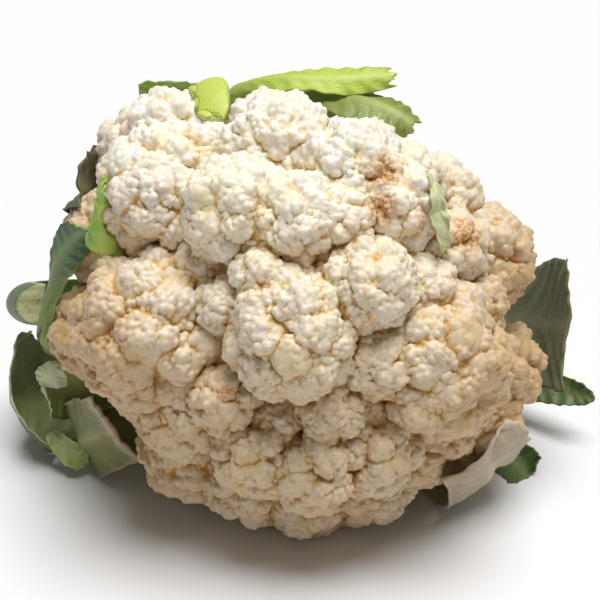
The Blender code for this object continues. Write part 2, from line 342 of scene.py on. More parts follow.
def curdMaterial():
    colours = {
        "white": (0.96, 0.95, 0.92),
        "cream": (0.93, 0.88, 0.76),
        "cap": (0.88, 0.79, 0.50),
        # soft, warm and deep are painted shade: warm in the creases, dark brown deep between the florets
        "soft": (0.90, 0.76, 0.46),
        "warm": (0.80, 0.50, 0.15),
        "deep": (0.48, 0.25, 0.06),
        "stain": (0.44, 0.16, 0.03),
        # painted shade: darker and browner low down, with some of the curd's own browner tint
        "shade": (0.64, 0.49, 0.32),
        "tan": (0.72, 0.46, 0.19),
        "dot": (0.16, 0.09, 0.03),
    }
    made, tree, shader = newMaterial(
        "curdSurface",
        {"Subsurface Weight": 0.45, "Subsurface Radius": (1.0, 0.5, 0.2), "Subsurface Scale": 0.0015},
    )
    place = objectPlace(tree)
    mottle, grain = skinValues(tree, 45.0, 1400.0)
    base = mixColour(tree, stepMask(tree, mottle, 0.38, 0.66), colours["white"], colours["cream"])
    cells = {"Vector": place, "Scale": 640.0, "Smoothness": 0.3}
    tiny = addNode(tree, "TexVoronoi", cells, feature="SMOOTH_F1").outputs["Distance"]
    # Painted shade: the warm crease colour in the fine, low seams between the grains.
    seamShade = times(tree, stepMask(tree, tiny, 0.35, 0.75), 0.45)
    base = mixColour(tree, seamShade, base, colours["soft"])
    capMask = times(tree, readAttribute(tree, "cap"), stepMask(tree, mottle, 0.25, 0.75))
    base = mixColour(tree, capMask, base, colours["cap"])
    # Painted shade in the creases: warm between beads and buds, dark brown deep between the florets and near
    # the middle.
    hollow = readAttribute(tree, "hollow")
    base = mixColour(tree, stepMask(tree, hollow, 0.06, 0.52), base, colours["soft"])
    base = mixColour(tree, stepMask(tree, hollow, 0.34, 0.9), base, colours["warm"])
    base = mixColour(tree, stepMask(tree, readAttribute(tree, "deep"), 0.25, 1.0), base, colours["deep"])
    # Painted shade, with some of the curd's own browner tint: darker and browner low down, round the lower
    # sides and underneath.
    base = mixColour(tree, readAttribute(tree, "shade"), base, colours["shade"], "MULTIPLY")
    speck = noiseValue(tree, place, 900.0, 3.0, 0.7)
    stained = readAttribute(tree, "stain")
    base = mixColour(tree, times(tree, stained, 0.7), base, colours["tan"])
    stainMask = times(tree, stained, stepMask(tree, speck, 0.44, 0.62))
    base = mixColour(tree, stainMask, base, colours["stain"])
    dots = addNode(tree, "TexVoronoi", {"Vector": place, "Scale": 75.0})
    rare = stepMask(tree, addNode(tree, "SeparateColor", {0: dots.outputs["Color"]}).outputs[0], 0.90, 0.91)
    dot = times(tree, stepMask(tree, dots.outputs["Distance"], 0.045, 0.02), rare)
    base = mixColour(tree, dot, base, colours["dot"])
    tree.links.new(maths(tree, "MULTIPLY_ADD", grain, 0.25, 0.36), shader.inputs["Roughness"])
    finishSurface(tree, shader, base, maths(tree, "SUBTRACT", times(tree, grain, 0.25), tiny), 0.4, 0.0004)
    return made


def capDirections(axis, count, spread, jitter, rng):
    # Evenly spread directions round an axis, each one moved a little.
    axis = axis / np.linalg.norm(axis)
    side = np.cross(axis, (0.3, 0.9, 0.1))
    side /= np.linalg.norm(side)
    other = np.cross(axis, side)
    start = rng.uniform(0, 2 * math.pi)
    share = (np.arange(count) + 0.4) / count
    height = 1 - share * (1 - math.cos(spread))
    turn = start + goldenAngle * np.arange(count)
    ring = np.sqrt(np.maximum(0, 1 - height**2))
    found = (
        height[:, None] * axis
        + (ring * np.cos(turn))[:, None] * side
        + (ring * np.sin(turn))[:, None] * other
    )
    found += rng.normal(0, jitter, found.shape)
    return unit(found)


def budsOn(floret, rng):
    # The same buds as on the solid curd, in the same order of draws.
    rule = curd["buds"]
    middle, radius = floret[:3], floret[3]
    bud = max(rule["leastRadius"], rule["share"] * radius)
    count = round(rule["cover"] * 2 * (1 - math.cos(rule["spread"])) * (radius / bud) ** 2)
    axis = middle + np.array((0, 0, rule["axisLift"]))
    directions = capDirections(axis, count, rule["spread"], rule["jitter"] * bud / radius, rng)
    radii = bud * rng.uniform(*rule["radii"], count)
    places = middle + directions * (radius - rule["sink"] * radii)[:, None]
    return np.column_stack((places, radii))


def spotShare(points, spots, outside, inside):
    # 1 in the middle of a round spot and 0 away from it.
    share = np.zeros(len(points))
    for x, y, z, radius in spots:
        away = np.linalg.norm(points - (x, y, z), axis=1)
        share = np.maximum(share, smoothStep(-away, -outside * radius, -inside * radius))
    return share


def capShare(points):
    # How smooth and flat the curd is at each point.
    return 0.85 * spotShare(points, caps, 1.1, 0.2)


def pinched(buds, middle):
    # Slimmer buds with their tops left in place, so that the creases between them run deeper.
    found = buds.copy()
    outward = unit(buds[:, :3] - middle)
    found[:, 3] *= curd["pinch"]
    found[:, :3] += outward * (buds[:, 3] - found[:, 3])[:, None]
    return found


def coveredWith(rule, parents, middle, rng):
    # Smaller balls round every parent ball; they sink away where the curd is smooth.
    found = []
    for parent in parents:
        outward = parent[:3] - middle
        size = np.clip(rule["share"] * parent[3], rule["least"], rule["most"])
        count = round(rule["cover"] * 2 * (1 - math.cos(rule["spread"])) * (parent[3] / size) ** 2)
        directions = capDirections(outward, count, rule["spread"], rule["jitter"], rng)
        radii = size * rng.uniform(*rule["radii"], count)
        facing = smoothStep(directions @ unit(outward), 0.45, 0.95)
        smooth = rng.uniform(*rule["smooth"]) * facing
        smooth = np.maximum(smooth, capShare(parent[:3] + directions * parent[3]))
        smooth = np.maximum(smooth, rule["underside"] * smoothStep(-directions @ upwards, 0.15, 0.8))
        sink = rule["sink"] + (rule["smoothSink"] - rule["sink"]) * np.clip(smooth, 0, 1)
        found.append(np.column_stack((parent[:3] + directions * (parent[3] - sink * radii)[:, None], radii)))
    return np.vstack(found)


def depthIn(balls, points):
    # How deep each point lies in the ball that covers it most; less than 0 outside them all.
    found = np.empty(len(points))
    middles = balls[:, :3].astype(np.float32)
    squares = (middles**2).sum(1)
    for start in range(0, len(points), batch):
        some = points[start : start + batch].astype(np.float32)
        apart = (some**2).sum(1)[:, None] + squares - 2 * some @ middles.T
        found[start : start + batch] = (balls[:, 3] - np.sqrt(np.maximum(apart, 0))).max(1)
    return found


def showing(balls, middle, others, depth):
    # The balls whose outermost point isn't deeper than this in another ball.
    tops = balls[:, :3] + unit(balls[:, :3] - middle) * balls[:, 3:]
    return balls[depthIn(others, tops) < depth]


def reach(directions, balls, extra=0.0):
    # How far each direction from the origin goes before it leaves the last ball.
    found = np.empty(len(directions))
    middles = balls[:, :3].astype(np.float32)
    spare = ((balls[:, 3] + extra) ** 2 - (balls[:, :3] ** 2).sum(1)).astype(np.float32)
    lines = directions.astype(np.float32)
    for start in range(0, len(lines), batch):
        along = lines[start : start + batch] @ middles.T
        inside = along * along + spare
        distance = along + np.sqrt(np.maximum(inside, 0))
        distance[inside <= 0] = -100
        found[start : start + batch] = distance.max(1)
    return found


sphereMeshes = {}


def roundGrid(divisions):
    # A ball of even squares, made once for each number of divisions and copied.
    if divisions not in sphereMeshes:
        bm = bmesh.new()
        bmesh.ops.create_cube(bm, size=2)
        bmesh.ops.subdivide_edges(bm, edges=bm.edges[:], cuts=divisions - 1, use_grid_fill=True)
        bmesh.ops.recalc_face_normals(bm, faces=bm.faces[:])
        mesh = meshFrom(bm, "roundGrid")
        cube = readValues(mesh.vertices, "co")
        sphereMeshes[divisions] = (mesh, unit(np.tan(cube * math.pi / 4)))
    return sphereMeshes[divisions]


def readValues(items, name, size=3):
    values = np.empty(len(items) * size, np.float32)
    items.foreach_get(name, values)
    return values.reshape(-1, size).astype(float)


def neighbourMean(points, edges, degree):
    total = np.empty_like(points)
    for k in range(3):
        total[:, k] = np.bincount(edges[:, 0], points[edges[:, 1], k], len(points))
        total[:, k] += np.bincount(edges[:, 1], points[edges[:, 0], k], len(points))
    return total / degree[:, None]


def hollowness(points, normals, edges, steps):
    # How far each point lies below its smoothed surroundings, in millimetres.
    degree = np.bincount(edges.ravel(), minlength=len(points))
    smooth = points
    for _ in range(steps):
        smooth = neighbourMean(smooth, edges, degree)
    return ((smooth - points) * normals).sum(1)


def granuleHeights(points):
    # Round domes, one for each cell of an uneven cell pattern in space.
    rule = curd["granules"]
    heights = np.empty(len(points))
    for i, place in enumerate(points / rule["size"]):
        distances = noise.voronoi(place)[0]
        heights[i] = distances[0] / distances[1]
    return (1 - heights**2) ** rule["roundness"]


def setAttributes(mesh, **values):
    for name, numbers in values.items():
        numbers = np.broadcast_to(numbers, len(mesh.vertices)).astype(np.float32)
        mesh.attributes.new(name, "FLOAT", "POINT").data.foreach_set("value", numbers)


def movePoints(mesh, points):
    mesh.vertices.foreach_set("co", points.astype(np.float32).ravel())
    mesh.update()


def layDown(mesh, points):
    # From the head's frame into the row's, with nothing under the floor.
    row = toRow(points)
    row[:, 2] = np.maximum(row[:, 2], 0)
    movePoints(mesh, row)


def meshFrom(bm, name):
    mesh = bpy.data.meshes.new(name)
    bm.to_mesh(mesh)
    bm.free()
    return mesh


def noiseAt(points, scale):
    return np.array([noise.noise(Vector(point) * scale) for point in points])


def countTriangles(mesh):
    return sum(len(polygon.vertices) - 2 for polygon in mesh.polygons)


def addPiece(name, mesh, material, *nodes, slot):
    piece = addObject(name, mesh)
    mesh.materials.clear()
    mesh.materials.append(material)
    mesh.shade_smooth()
    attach(piece, "root")
    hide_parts(*nodes)
    return piece


def buriedPoints(points, edges, balls):
    # Points well inside the rest of the curd, away from the line where the floret leaves it.
    inside = np.linalg.norm(points, axis=1) < curd["core"]["radius"] - curd["buried"]
    inside |= depthIn(balls, points) > curd["buried"]
    for _ in range(3):
        inside[edges[~inside[edges[:, 0]], 1]] = False
        inside[edges[~inside[edges[:, 1]], 0]] = False
    return inside


def closeOff(mesh, buried):
    # Takes the buried points away and closes the floret again behind the line.
    bm = bmesh.new()
    bm.from_mesh(mesh)
    bm.verts.ensure_lookup_table()
    bmesh.ops.delete(bm, geom=[bm.verts[i] for i in np.flatnonzero(buried)], context="VERTS")
    for _ in range(4):
        for _ in range(3):
            loose = [v for v in bm.verts if not v.link_faces or sum(e.is_boundary for e in v.link_edges) > 2]
            bmesh.ops.delete(bm, geom=loose, context="VERTS")
        bmesh.ops.holes_fill(bm, edges=[e for e in bm.edges if e.is_boundary], sides=0)
        lids = [f for f in bm.faces if len(f.verts) > 4]
        bmesh.ops.triangulate(bm, faces=lids)
        torn = [v for v in bm.verts if any(not e.is_manifold for e in v.link_edges)]
        left = sum(not e.is_manifold for e in bm.edges)
        if not left:
            break
        bmesh.ops.delete(bm, geom=torn, context="VERTS")
    bm.to_mesh(mesh)
    bm.free()
    return left


def shadeOn(points, normals):
    # Painted shade, partly the curd's own browner tint: darker and browner low down, round its lower sides
    # and underneath.
    rule = curd["shade"]
    low = np.clip((rule["below"] - toRow(points)[:, 2] / mm) / rule["fade"], 0, 1)
    aside = smoothStep(np.abs(points[:, 0]), *rule["aside"])
    under = smoothStep(-normals @ upwards, *rule["under"])
    return np.clip(low * (rule["lowShare"] + rule["asideShare"] * aside) + rule["underShare"] * under, 0, 1)


def makeFloret(name, floret, buds, others, solid, spacing, rng, material):
    middle, radius = floret[:3], floret[3]
    divisions = max(12, round(math.pi / 2 * (radius + 1.5) / spacing))
    source, even = roundGrid(divisions)
    mesh = source.copy()
    mesh.name = name
    turned = np.array(Vector((0, 0, 1)).rotation_difference(Vector(middle)).to_matrix())
    directions = even @ turned.T
    buds = np.vstack((np.append(middle, radius * curd["innerShare"]), pinched(buds, middle)))
    knobs = coveredWith(curd["knobs"], buds[1:], middle, rng)
    knobs = showing(knobs, middle, buds, curd["knobs"]["hidden"])
    knobs = showing(knobs, middle, solid, curd["buried"] + 2)
    beads = coveredWith(curd["beads"], knobs, middle, rng)
    beads = showing(beads, middle, np.vstack((buds[1:], knobs)), curd["beads"]["hidden"])
    small = np.vstack((knobs, showing(beads, middle, solid, curd["buried"] + 1)))
    distance = reach(directions, buds - (*middle, 0))
    points = directions * distance[:, None] + middle
    edges = np.empty(len(mesh.edges) * 2, np.int32)
    mesh.edges.foreach_get("vertices", edges)
    edges = edges.reshape(-1, 2)
    buried = buriedPoints(points, edges, solid)
    seen = ~buried
    distance[seen] = np.maximum(distance[seen], reach(directions[seen], small - (*middle, 0)))
    rule = curd["lumps"]
    distance[seen] += rule["height"] * noiseAt(points[seen], rule["scale"])
    points = directions * distance[:, None] + middle
    movePoints(mesh, points)
    normals = readValues(mesh.vertex_normals, "vector")
    cap = capShare(points)
    granules = np.zeros(len(points))
    granules[seen] = granuleHeights(points[seen])
    points += normals * (curd["granules"]["height"] * (1 - 0.5 * cap) * granules)[:, None]
    movePoints(mesh, points)
    normals = readValues(mesh.vertex_normals, "vector")
    # Painted shade: hollow and deep warm and darken the creases and the gaps between florets, more weakly on
    # the crown; shade darkens the curd low down.
    rule = curd["hollows"]
    fine = hollowness(points, normals, edges, rule["fineSteps"]) / rule["fineDepth"]
    wide = hollowness(points, normals, edges, rule["wideSteps"]) / rule["wideDepth"]
    near = smoothStep(depthIn(others * (1, 1, 1, 1.03), points), *rule["near"])
    inside = smoothStep(-np.linalg.norm(points - rule["middle"], axis=1), *rule["inside"])
    hollow = 0.55 * np.clip(fine, 0, 1) + 0.7 * np.clip(wide, 0, 1) + 0.5 * near
    deep = 0.6 * near + 0.5 * np.clip(0.65 * wide, 0, 1) + 0.5 * inside - 0.15
    shade = shadeOn(points, normals)
    setAttributes(
        mesh,
        hollow=np.clip(hollow, 0, 1) * (0.72 + 0.28 * smoothStep(shade, 0, 0.4)),
        deep=np.clip(deep, 0, 1),
        cap=cap,
        shade=shade,
        stain=spotShare(points, stains, 1.0, 0.3),
    )
    layDown(mesh, points)
    openEdges = closeOff(mesh, buried)
    if openEdges:
        print(name, "has", openEdges, "open edges")
    return addPiece("floret_" + name, mesh, material, "curd", slot="curd")


def ringOf(name, ring):
    # Florets in an even ring round the head's axis.
    found = {}
    for i in range(ring["count"]):
        angle = 2 * math.pi * (i + 0.5) / ring["count"]
        middle = (ring["distance"] * math.cos(angle), ring["distance"] * math.sin(angle), ring["height"])
        found[f"{name}_{i + 1:02d}"] = np.array((*middle, ring["radius"]))
    return found


def makeCurd():
    material = curdMaterial()
    florets = {name: np.array(floret, float) for name, floret in curd["florets"].items()}
    florets.update(ringOf("under", curd["underRing"]))
    budRng = np.random.default_rng(curd["seed"])
    buds = {name: budsOn(floret, budRng) for name, floret in florets.items()}
    balls = np.array(list(florets.values()))
    core = curd["core"]
    middle = np.array([(0, 0, 0, core["radius"]), (0, 0, core["neck"], core["neckRadius"])])
    solidCurd = np.vstack((middle, balls * (1, 1, 1, curd["coreShare"]), *buds.values()))
    fillers = {name: np.array(floret, float) for name, floret in curd["fillers"].items()}
    fillers.update(ringOf("side", curd["sideRing"]))
    for name, floret in fillers.items():
        florets[name] = floret
        buds[name] = budsOn(floret, budRng)
    balls = np.array(list(florets.values()))
    triangles = 0
    for index, (name, floret) in enumerate(florets.items()):
        spacing = curd["spacing"] if floret[2] > 20 or floret[1] < -55 else curd["sideSpacing"]
        spacing = curd["backSpacing"] if name.startswith(("under", "side")) else spacing
        others = np.delete(balls, index, axis=0)
        rng = np.random.default_rng(curd["seed"] + index + 1)
        otherBuds = [found for key, found in buds.items() if key != name]
        solid = np.vstack((others * (1, 1, 1, curd["coreShare"]), *otherBuds))
        piece = makeFloret(name, floret, buds[name], others, solid, spacing, rng, material)
        triangles += countTriangles(piece.data)
    print("curd:", len(florets), "florets,", triangles, "triangles")
    makeCore(balls, middle, material)
    return solidCurd


def makeCore(florets, middle, material):
    # The branches that carry the florets, seen from behind and deep between them.
    rule = curd["core"]
    foot = np.array((0, 0, head["curdBottom"] + rule["branchFoot"]))
    branches = [middle]
    for floret in florets:
        for share in rule["branchSteps"]:
            place = foot + (floret[:3] - foot) * share
            radius = floret[3] * (rule["branchStart"] + rule["branchGrowth"] * share)
            branches.append(np.append(place, radius)[None, :])
    source, directions = roundGrid(rule["divisions"])
    mesh = source.copy()
    mesh.name = "core"
    distance = reach(directions, np.vstack(branches))
    down = directions[:, 2] < -1e-6
    distance[down] = np.minimum(distance[down], head["curdBottom"] / directions[down, 2])
    points = directions * distance[:, None]
    wrinkle = noiseAt(points, 0.35) + 0.5 * noiseAt(points, 1.0)
    front = smoothStep(points[:, 2], *rule["front"])
    relief = 0.5 * wrinkle * (points[:, 2] > head["curdBottom"] + 0.5)
    relief += curd["granules"]["height"] * front * granuleHeights(points)
    points += directions * relief[:, None]
    shade = shadeOn(points, directions)
    # Painted shade: warm and dark where the core shows deep between the front florets, and darker low down.
    setAttributes(mesh, hollow=0.15 + 0.65 * front, deep=0.55 * front, shade=shade, cap=0.0, stain=0.0)
    layDown(mesh, points)
    addPiece("curd_core", mesh, material, "curd", slot="curd")
    print("core:", countTriangles(mesh), "triangles")


curdBalls = makeCurd()
for spareMesh, _ in sphereMeshes.values():
    bpy.data.meshes.remove(spareMesh)


# Stem

stem = {
    "top": -45.0,
    "end": -80.0,
    "radius": 27.0,
    "endRadius": 24.5,
    "sides": 120,
    "rings": 22,
    "insets": (0.8, 1.2, 2.2, 3.5, 4.0, 4.0, 4.0),  # rings on the cut face, from its rim inwards
}


def stemMaterial():
    colours = {
        "skin": (0.52, 0.60, 0.30),
        "pale": (0.72, 0.74, 0.52),
        "pith": (0.80, 0.78, 0.58),
        "ring": (0.55, 0.60, 0.30),
        "brown": (0.36, 0.24, 0.10),
    }
    sockets = {"Subsurface Weight": 0.1, "Subsurface Scale": 0.002, "Roughness": 0.45}
    made, tree, shader = newMaterial("stemSurface", sockets)
    place = objectPlace(tree)
    mottle, grain = skinValues(tree, 60.0, 1500.0)
    base = mixColour(tree, stepMask(tree, mottle, 0.35, 0.65), colours["skin"], colours["pale"])
    cut = readAttribute(tree, "cut")
    across = readAttribute(tree, "across")
    fibre = noiseValue(tree, place, 700.0, 3.0, 0.7)
    face = mixColour(tree, stepMask(tree, across, 0.62, 0.78), colours["pith"], colours["ring"])
    face = mixColour(tree, times(tree, stepMask(tree, fibre, 0.5, 0.62), 0.4), face, colours["pale"])
    edge = times(tree, stepMask(tree, across, 0.86, 0.97), stepMask(tree, mottle, 0.25, 0.5))
    face = mixColour(tree, edge, face, colours["brown"])
    base = mixColour(tree, cut, base, face)
    brown = times(tree, stepMask(tree, noiseValue(tree, place, 130.0, 5.0, 0.7), 0.58, 0.68), 0.6)
    base = mixColour(tree, brown, base, colours["brown"])
    height = maths(tree, "ADD", times(tree, fibre, 0.7), times(tree, grain, 0.4))
    finishSurface(tree, shader, base, height, 0.5, 0.0005)
    return made


def makeStem(bases):
    bm = bmesh.new()
    bmesh.ops.create_cone(
        bm,
        cap_ends=True,
        segments=stem["sides"],
        radius1=stem["endRadius"],
        radius2=stem["radius"],
        depth=stem["top"] - stem["end"],
        matrix=Matrix.Translation((0, 0, (stem["top"] + stem["end"]) / 2)),
    )
    upright = [e for e in bm.edges if abs(e.verts[0].co.z - e.verts[1].co.z) > 1]
    bmesh.ops.subdivide_edges(bm, edges=upright, cuts=stem["rings"])
    cap = [f for f in bm.faces if all(v.co.z < stem["end"] + 0.01 for v in f.verts)]
    for step in stem["insets"]:
        bmesh.ops.inset_region(bm, faces=cap, thickness=step, use_even_offset=True)
    bm.verts.ensure_lookup_table()
    mesh = meshFrom(bm, "stem")
    points = readValues(mesh.vertices, "co")
    ring = np.linalg.norm(points[:, :2], axis=1)
    cut = (points[:, 2] < stem["end"] + 0.01).astype(float)
    across = ring / stem["endRadius"]
    outward = unit(np.column_stack((points[:, :2], np.full(len(points), 1e-6))))
    angle = np.arctan2(points[:, 1], points[:, 0])
    rough = noiseAt(points, 0.12) + 0.4 * noiseAt(points, 0.5)
    flutes = 0.25 * np.sin(angle * 9 + 0.6) + 0.15 * np.sin(angle * 23)
    swelling = np.zeros(len(points))
    for base in bases:
        away = np.linalg.norm(points - base, axis=1)
        swelling = np.maximum(swelling, 1.6 * np.exp(-((away / 8.0) ** 2)))
    points += outward * ((0.5 * rough + flutes + swelling - 0.6) * (1 - cut) * (ring > 20))[:, None]
    rim = smoothStep(across, 0.9, 1.0) * 1.1
    dish = 0.7 * (1 - np.clip(across, 0, 1) ** 2) + 0.35 * rough * (across < 0.97)
    points[:, 2] += cut * (rim + dish + 0.5)
    setAttributes(mesh, cut=cut, across=across)
    layDown(mesh, points)
    addPiece("stem", mesh, stemMaterial(), "stem", slot="stem")
    print("stem:", countTriangles(mesh), "triangles")


# Leaves

leafRules = {
    "seed": 500,
    "rows": 76,
    "columns": 21,
    "clearance": 2.4,
    "edgeThickness": 0.55,
    "ridgeWidth": 3.4,
    "edgeRounding": 1.02,
    "bladeStart": 0.35,  # shares of the leaf's length
    "bladeSpread": 0.4,
    "waveRate": 9.0,
    "waveOffset": 2.0,
    "rooted": 1.6,  # how far a petiole runs into the stem
    "veinSpacing": 8.5,
    "veinSlant": 0.9,
    "whorls": {"inner": (27.4, -51.0), "middle": (27.2, -60.5), "outer": (26.8, -71.0)},  # distance, height
}


def shortStub(bearing, *rib, tip=6, dent=0.02):
    # A petiole cut short near the stem.
    shape = {"whorl": "outer", "bearing": bearing, "rib": rib, "halfWidths": (6, 8, 9, 9), "rows": 44}
    return {**shape, "thick": (8, tip), "end": ("cut", dent), "look": "stub"}


# One dictionary for each leaf. rib: distance from the head's axis, bearing and height along the midrib.
# halfWidths: midrib to edge. thick: at the petiole and at the tip. hug: how far the edges bend to the curd.
# tilt and turn: degrees of twist all along it, and more towards its tip. wave, ruffle and ragged: how its
# blade, its edge and its outline wander. blade: how much of the rib's thickness the blade gives up.
# end: how the leaf ends, and how deep its end is rounded or torn. look: its colours.
leaves = {
    "leaf_left_long": {
        "whorl": "inner", "bearing": 187,
        "rib": [
            (62, 189, -45), (90, 190, -24), (96.8, 186.6, -4), (92, 175.4, 4), (90, 168.4, 12),
            (86, 162.4, 20), (81, 159, 28),
        ],
        "halfWidths": (6, 7, 5.5, 4, 4.6, 7.5, 7, 4), "thick": (7, 3), "hug": 0.1, "wave": 1.6,
        "ruffle": 0.8, "turn": -90, "blade": 0.5, "end": ("round", 0.06), "ragged": 0.10, "look": "long",
        "turnPower": 1.5, "clearance": 1.4,
    },
    "leaf_left_back": {
        "whorl": "middle", "bearing": 153,
        "rib": [(62, 152, -52), (84, 152, -34), (88, 151.5, -14), (96, 151, 6)],
        "halfWidths": (6, 8, 12, 14.5, 12), "thick": (6, 2), "hug": 0.3, "wave": 1.5, "ruffle": 0.7,
        "blade": 0.4, "end": ("torn", 0.05), "ragged": 0.05, "look": "back", "tilt": -30,
    },
    "leaf_left_stub": {
        "whorl": "outer", "bearing": 180,
        "rib": [(64, 180, -68), (92, 180, -56), (106, 180, -34), (98.5, 180, -12)],
        "halfWidths": (6, 8, 9, 8.5, 8), "thick": (8, 12.5), "end": ("cut", 0.01), "look": "stub",
        "rows": 60,
    },
    "leaf_left_outer": {
        "whorl": "outer", "bearing": 209,
        "rib": [(62, 209, -66), (97, 206, -60), (121, 200, -42), (120, 198, -22)],
        "halfWidths": (6, 8, 13, 25, 27), "thick": (7, 2), "hug": 0.45, "wave": 2.2, "ruffle": 1.4,
        "blade": 0.4, "end": ("torn", 0.10), "ragged": 0.08, "look": "outer",
    },
    "leaf_left_curl": {
        "whorl": "middle", "bearing": 206,
        "rib": [(62, 205, -56), (88, 203, -44), (103, 200, -28), (104, 198, -10)],
        "halfWidths": (6, 8, 9, 11, 9), "thick": (7, 3), "hug": -0.25, "wave": 0.8, "ruffle": 0.8,
        "blade": 0.4, "end": ("round", 0.10), "ragged": 0.06, "look": "curl",
    },
    "leaf_left_low": {
        "whorl": "inner", "bearing": 221,
        "rib": [(58, 221, -45), (90, 217, -42), (102, 212.5, -28), (96, 212, -10), (83, 213.5, 5)],
        "halfWidths": (6, 9, 13, 16, 16, 15.5), "thick": (6, 2), "hug": 0.1, "wave": 1.2, "ruffle": 1.0,
        "blade": 0.35, "end": ("torn", 0.035), "ragged": 0.03, "look": "low", "dryRim": 4.6,
        "clearance": 1.6,
    },
    "leaf_top_sliver": {
        "whorl": "outer", "bearing": 128,
        "rib": [(62, 128, -65), (88, 125, -50), (97, 122, -32), (100, 120.5, -17)],
        "halfWidths": (6, 8, 10, 13, 13), "thick": (7, 2), "hug": 0.05, "wave": 0.8, "ruffle": 0.6,
        "blade": 0.4, "end": ("torn", 0.05), "ragged": 0.05, "look": "sliver", "turn": 35,
    },
    "leaf_top_tongue": {
        "whorl": "inner", "bearing": 118,
        "rib": [
            (60, 118, -44), (82, 117, -24), (86, 115, -6), (87, 113.5, 8), (84, 113, 18), (78, 114, 25),
            (71, 115.5, 29),
        ],
        "halfWidths": (6, 8, 8, 8, 7.2, 6.6, 6.6, 6.6), "thick": (7, 2.4), "end": ("round", 0.06),
        "clearance": 1.2, "look": "tongue",
    },
    "leaf_top_long": {
        "whorl": "middle", "bearing": 103,
        "rib": [
            (62, 104, -54), (83, 108, -38), (86, 103, -23), (86, 94, -12), (87, 80, -8), (94.5, 67, -9),
        ],
        "halfWidths": (6, 6, 4.5, 4.5, 6.5, 7, 3.5), "thick": (7, 3), "hug": 0.1, "wave": 1.0,
        "ruffle": 0.8, "turn": -75, "blade": 0.6, "end": ("torn", 0.04), "ragged": 0.10, "look": "bright",
        "clearance": 1.0, "turnPower": 1,
    },
    "leaf_top_right": {
        "whorl": "inner", "bearing": 82,
        "rib": [(60, 84, -46), (80, 88, -27), (80, 78, -9), (80, 67, 0), (79, 57, 2)],
        "halfWidths": (6, 8, 12, 12, 10, 4), "thick": (6, 2), "hug": 0.2, "wave": 0.8, "ruffle": 0.9,
        "turn": -60, "blade": 0.4, "end": ("torn", 0.05), "ragged": 0.10, "look": "olive", "turnPower": 1,
    },
    "leaf_right_broad": {
        "whorl": "middle", "bearing": -3,
        "rib": [(62, -3, -53), (82, -4, -40), (95, -4.5, -20), (100.5, -4, 2)],
        "halfWidths": (6, 9, 17, 25, 26), "thick": (7, 2), "hug": 0.05, "wave": 0.8, "ruffle": 0.9,
        "blade": 0.4, "end": ("torn", 0.06), "ragged": 0.05, "look": "broad",
    },
    "leaf_right_tip": {
        "whorl": "outer", "bearing": -21,
        "rib": [(62, -20, -68), (92, -20, -60), (111, -19, -48), (124, -18.3, -38)],
        "halfWidths": (6, 8, 8, 6.5, 3), "thick": (7, 2), "hug": 0.2, "wave": 1.0, "ruffle": 0.7,
        "blade": 0.4, "end": ("round", 0.03), "ragged": 0.06, "look": "dark",
    },
    "leaf_right_low": {
        "whorl": "middle", "bearing": -40,
        "rib": [(60, -39, -54), (88, -39, -46), (108, -38.5, -36), (113.5, -38.4, -25)],
        "halfWidths": (6, 8, 10, 12, 11), "thick": (7, 3), "hug": 0.1, "wave": 0.8, "ruffle": 0.6,
        "blade": 0.4, "end": ("torn", 0.05), "ragged": 0.05, "look": "dark",
    },
    "leaf_right_hug": {
        "whorl": "inner", "bearing": -50,
        "rib": [(58, -50, -42), (86, -48, -24), (95, -44, -6), (92, -41, 8), (84, -38.5, 20)],
        "halfWidths": (6, 10, 16, 18, 17, 17), "thick": (5, 1.6), "hug": 0.35, "wave": 0.2, "ruffle": 0.2,
        "blade": 0.35, "end": ("torn", 0.02), "ragged": 0.02, "look": "veil", "clearance": 2.6,
        "dryRim": 1.0,
    },
    "leaf_foot_right": shortStub(-63, (42, -62, -69), (50, -61, -65), (56, -60, -59), tip=7, dent=0.01),
    "leaf_foot_left": shortStub(-117, (42, -118, -69), (50, -119, -65), (56, -120, -59), tip=7, dent=0.01),
    "leaf_back_upper": shortStub(72, (52, 72, -66), (70, 72, -58), (80, 72, -46)),
    "leaf_left_long_fold": {
        "node": "leaf_left_long",
        "rib": [(73.5, 164.2, 34), (74.5, 157.5, 37), (78.5, 150.5, 41), (83, 145.6, 41)],
        "halfWidths": (7.4, 6.2, 3.6, 0.6), "thick": (1.8, 1.0), "hug": 0.45, "wave": 1.4, "ruffle": 0.7,
        "blade": 0.3, "tilt": -64, "end": ("round", 0.02), "ragged": 0.06, "look": "fold", "rows": 50,
        "clearance": 1.8,
    },
    "leaf_left_outer_flap": {
        "node": "leaf_left_outer",
        "rib": [(112, 207, -26), (110, 210.5, -22), (107, 214, -22), (103, 216, -24)],
        "halfWidths": (2.0, 4.5, 5.5, 3.0), "thick": (1.4, 0.8), "hug": 0.1, "wave": 0.8, "ruffle": 0.8,
        "blade": 0.3, "tilt": -80, "end": ("torn", 0.08), "ragged": 0.10, "look": "curl", "rows": 44,
    },
    "leaf_left_curl_fold": {
        "node": "leaf_left_curl",
        "rib": [(100.8, 198, -11), (100, 195.9, -7), (99.2, 194.2, -6), (98.6, 192.5, -7)],
        "halfWidths": (5.5, 6.3, 6.0, 3.5), "thick": (1.4, 0.8), "hug": 0.2, "wave": 0.7, "ruffle": 0.7,
        "blade": 0.3, "tilt": -75, "end": ("round", 0.05), "ragged": 0.05, "look": "pale", "rows": 44,
    },
    "bract": {
        "node": "curd",
        "rib": [(58, 48, 47), (57.5, 43, 52), (56, 36, 54), (54, 29, 54), (53, 23, 51)],
        "halfWidths": (1.5, 3.4, 4.0, 3.2, 1.5), "thick": (1.2, 0.8), "hug": -0.3, "wave": 1.0,
        "ruffle": 1.2, "blade": 0.3, "tilt": -30, "end": ("torn", 0.10), "ragged": 0.22, "look": "shred",
        "rows": 60, "clearance": 1.4,
    },
    "leaf_back_right": shortStub(32, (52, 32, -66), (68, 32, -56), (77, 32, -44)),
}

